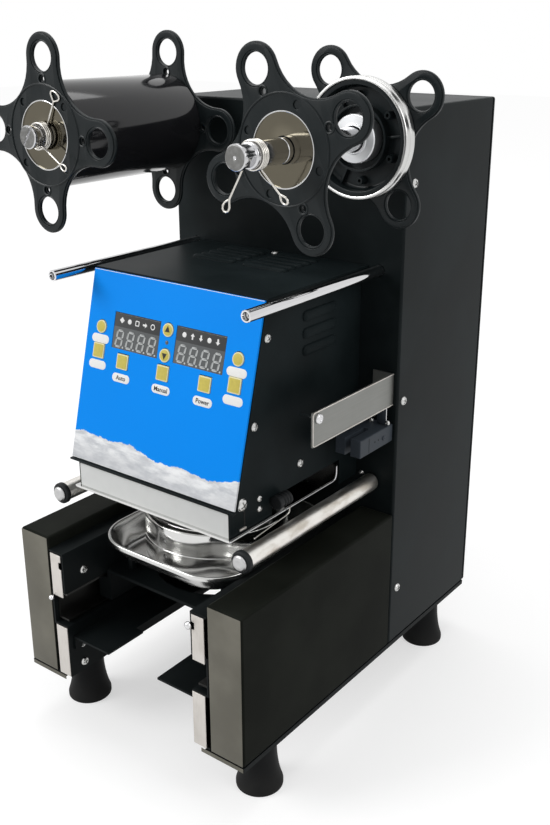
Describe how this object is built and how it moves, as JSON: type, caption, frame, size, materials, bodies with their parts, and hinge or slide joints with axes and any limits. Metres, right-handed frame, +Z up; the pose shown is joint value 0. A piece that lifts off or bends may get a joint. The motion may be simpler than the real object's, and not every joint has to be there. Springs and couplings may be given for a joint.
{
  "type": "cup sealing machine",
  "caption": "Counter-top automatic cup sealer: tall column with film reels, sloped control head, sliding cup tray between two base arms, rubber feet.",
  "frame": {"origin": "on the counter, under the middle of the machine", "axes": "+X to the right seen from the front, +Y to the back, +Z up"},
  "size_m": [0.3738, 0.3843, 0.6246],
  "materials": {
    "black_paint": "satin black powder coat, very fine texture",
    "black_plastic": "smooth black moulded plastic",
    "rubber": "matt black rubber",
    "stainless": "polished stainless steel",
    "steel": "machined and plated steel",
    "aluminium": "plain and knurled aluminium",
    "sensor_grey": "dark grey moulded plastic",
    "blue_panel": "printed blue polycarbonate overlay with a pale band",
    "board": "circuit board with smoked display modules",
    "key_yellow": "mustard yellow key caps"
  },
  "bodies": {
    "machine": {"column_casing": "black_paint", "rear_cover": "black_paint", "base_frame": "black_paint", "arm_left": "black_paint", "arm_right": "black_paint", "rail_carrier_left": "black_paint", "rail_carrier_right": "black_paint", "guide_rail_left": "steel", "guide_rail_right": "steel", "base_shelf": "black_paint", "foot_front_left": "rubber", "foot_front_right": "rubber", "foot_rear_left": "rubber", "foot_rear_right": "rubber", "head_case": "black_paint", "head_cover": "black_paint", "control_panel": "blue_panel", "display_board": "board", "film_plate": "stainless", "press_frame": "steel", "press_motor": "steel", "bearing_plate": "steel", "take_up_motor": "steel", "supply_brake": "steel", "upper_guide_rod_left": "stainless", "upper_guide_rod_right": "stainless", "roller_axle_left": "steel", "roller_axle_right": "steel", "film_guide_plate": "aluminium", "film_sensor": "sensor_grey", "tray_motor": "steel", "mains_inlet": "black_plastic"},
    "tray": {"cup_tray": "stainless", "cup_collar": "stainless", "tray_carriage": "black_paint"},
    "tray_drive": {"tray_pinion": "steel"},
    "press_head": {"press_carriage": "aluminium", "heater_plate": "aluminium", "cutter_ring": "steel"},
    "cam": {"press_cam": "steel"},
    "take_up_reel": {"reel_shaft_left": "stainless", "take_up_rear_flange": "black_plastic", "take_up_front_flange": "black_plastic", "take_up_drum": "black_plastic"},
    "supply_reel": {"reel_shaft_right": "stainless", "supply_rear_flange": "black_plastic", "supply_core_ring": "aluminium"},
    "loose_flange": {"supply_front_flange": "black_plastic"},
    "roller_left": {"lower_roller_left": "aluminium"},
    "roller_right": {"lower_roller_right": "aluminium"},
    "rocker": {"power_rocker": "black_plastic"},
    "key_left_round": {"key_left_round": "key_yellow"},
    "key_left_square": {"key_left_square": "key_yellow"},
    "key_auto": {"key_auto": "key_yellow"},
    "key_manual": {"key_manual": "key_yellow"},
    "key_power": {"key_power": "key_yellow"},
    "key_right_square": {"key_right_square": "key_yellow"},
    "key_right_round": {"key_right_round": "key_yellow"},
    "key_up": {"key_up": "key_yellow"},
    "key_down": {"key_down": "key_yellow"}
  },
  "joints": [
    {"name": "tray_slide", "type": "slide", "parent": "machine", "child": "tray", "axis": [0, -1, 0], "range_m": [0, 0.14]},
    {"name": "tray_pinion_turn", "type": "hinge", "parent": "machine", "child": "tray_drive", "pos_m": [-0.065, 0.01, 0.1173], "axis": [1, 0, 0], "range_deg": [0, 535]},
    {"name": "press_slide", "type": "slide", "parent": "machine", "child": "press_head", "axis": [0, 0, -1], "range_m": [0, 0.03]},
    {"name": "press_cam_turn", "type": "hinge", "parent": "machine", "child": "cam", "pos_m": [0.003, -0.066, 0.349], "axis": [1, 0, 0], "range_deg": [0, 180]},
    {"name": "take_up_turn", "type": "hinge", "parent": "machine", "child": "take_up_reel", "pos_m": [-0.1087, 0.001, 0.5437], "axis": [0, 1, 0], "continuous": true},
    {"name": "supply_turn", "type": "hinge", "parent": "machine", "child": "supply_reel", "pos_m": [0.1087, 0.001, 0.5437], "axis": [0, 1, 0], "continuous": true},
    {"name": "loose_flange_slide", "type": "slide", "parent": "supply_reel", "child": "loose_flange", "axis": [0, -1, 0], "range_m": [-0.03, 0.026]},
    {"name": "roller_left_turn", "type": "hinge", "parent": "machine", "child": "roller_left", "pos_m": [-0.106, 0.034, 0.226], "axis": [0, 1, 0], "continuous": true},
    {"name": "roller_right_turn", "type": "hinge", "parent": "machine", "child": "roller_right", "pos_m": [0.106, 0.034, 0.226], "axis": [0, 1, 0], "continuous": true},
    {"name": "rocker_tilt", "type": "hinge", "parent": "machine", "child": "rocker", "pos_m": [-0.08, 0.1889, 0.1232], "axis": [1, 0, 0], "range_deg": [0, 16]},
    {"name": "key_left_round_press", "type": "slide", "parent": "machine", "child": "key_left_round", "axis": [0, 0.9692, -0.2462], "range_m": [0, 0.0006], "stiffness_N_per_m": 500},
    {"name": "key_left_square_press", "type": "slide", "parent": "machine", "child": "key_left_square", "axis": [0, 0.9692, -0.2462], "range_m": [0, 0.0006], "stiffness_N_per_m": 500},
    {"name": "key_auto_press", "type": "slide", "parent": "machine", "child": "key_auto", "axis": [0, 0.9692, -0.2462], "range_m": [0, 0.0006], "stiffness_N_per_m": 500},
    {"name": "key_manual_press", "type": "slide", "parent": "machine", "child": "key_manual", "axis": [0, 0.9692, -0.2462], "range_m": [0, 0.0006], "stiffness_N_per_m": 500},
    {"name": "key_power_press", "type": "slide", "parent": "machine", "child": "key_power", "axis": [0, 0.9692, -0.2462], "range_m": [0, 0.0006], "stiffness_N_per_m": 500},
    {"name": "key_right_square_press", "type": "slide", "parent": "machine", "child": "key_right_square", "axis": [0, 0.9692, -0.2462], "range_m": [0, 0.0006], "stiffness_N_per_m": 500},
    {"name": "key_right_round_press", "type": "slide", "parent": "machine", "child": "key_right_round", "axis": [0, 0.9692, -0.2462], "range_m": [0, 0.0006], "stiffness_N_per_m": 500},
    {"name": "key_up_press", "type": "slide", "parent": "machine", "child": "key_up", "axis": [0, 0.9692, -0.2462], "range_m": [0, 0.0006], "stiffness_N_per_m": 500},
    {"name": "key_down_press", "type": "slide", "parent": "machine", "child": "key_down", "axis": [0, 0.9692, -0.2462], "range_m": [0, 0.0006], "stiffness_N_per_m": 500}
  ],
  "couplings": [
    {"joint": "tray_pinion_turn", "follows": "tray_slide", "rad_per_m": 66.667},
    {"joint": "press_cam_turn", "follows": "press_slide", "rad_per_m": 104.72}
  ]
}
